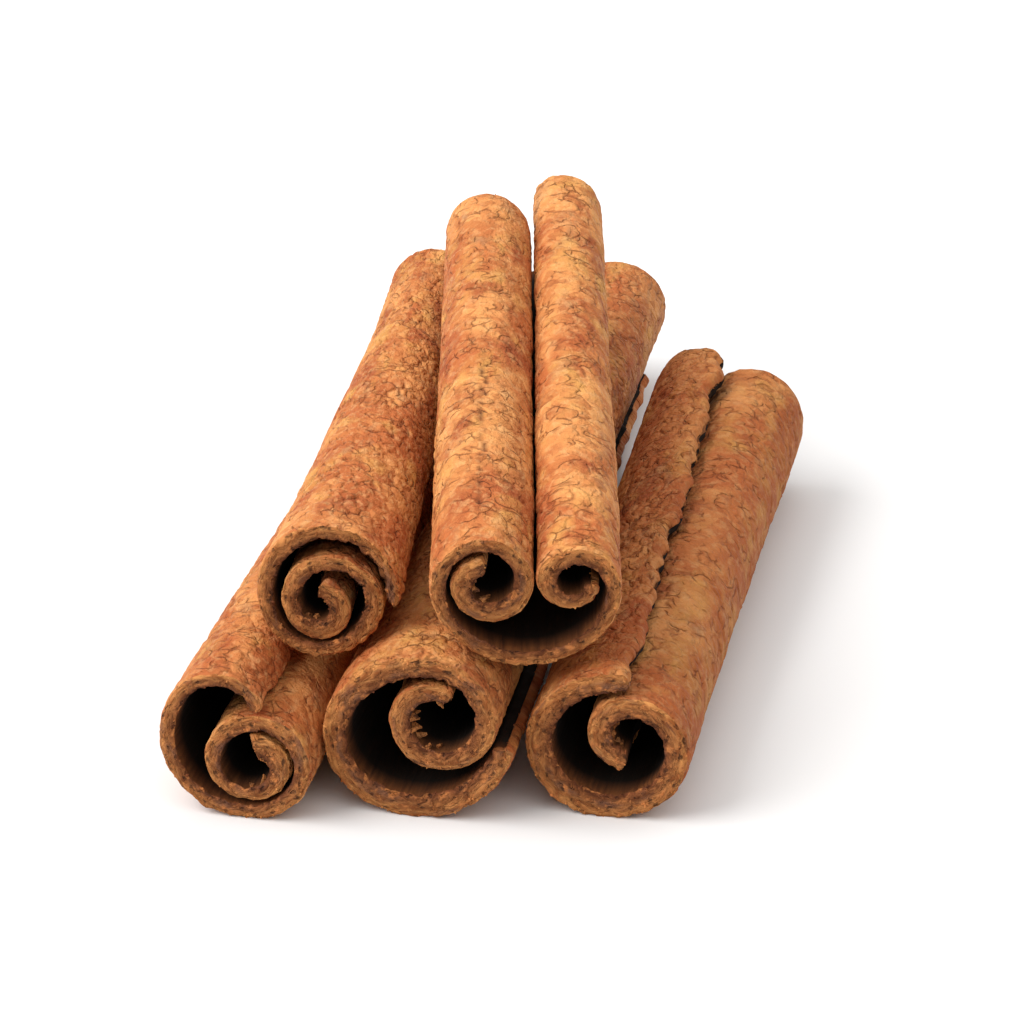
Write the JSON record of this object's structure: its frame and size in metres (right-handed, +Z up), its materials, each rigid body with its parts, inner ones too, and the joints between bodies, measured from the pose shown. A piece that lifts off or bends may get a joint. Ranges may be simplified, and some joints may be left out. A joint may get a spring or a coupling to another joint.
{
  "type": "cinnamon stick stack",
  "caption": "Stack of cinnamon sticks, each a strip of dried cassia bark curled into a hollow scroll; some lie side by side on the ground and the others lie across them, cut ends to the front.",
  "frame": {"origin": "On the ground, below the middle of the stack.", "axes": "+Y runs along the sticks, from the cut ends that face the viewer to the far ends, and is the longest extent; +Z is up; +X is to the right, seen from the cut ends."},
  "size_m": [0.0604, 0.0952, 0.0312],
  "materials": {
    "bark_bottom_left": "dry, dull, wrinkled bark",
    "bark_bottom_middle": "dry, dull, wrinkled bark",
    "bark_bottom_right": "dry, dull, wrinkled bark",
    "bark_top_left": "dry, dull, wrinkled bark",
    "bark_top_double": "dry, dull, wrinkled bark"
  },
  "bodies": {
    "root": {"quill_bottom_left": "bark_bottom_left", "quill_bottom_middle": "bark_bottom_middle", "quill_bottom_right": "bark_bottom_right", "quill_top_left": "bark_top_left", "quill_top_double": "bark_top_double"}
  },
  "joints": []
}
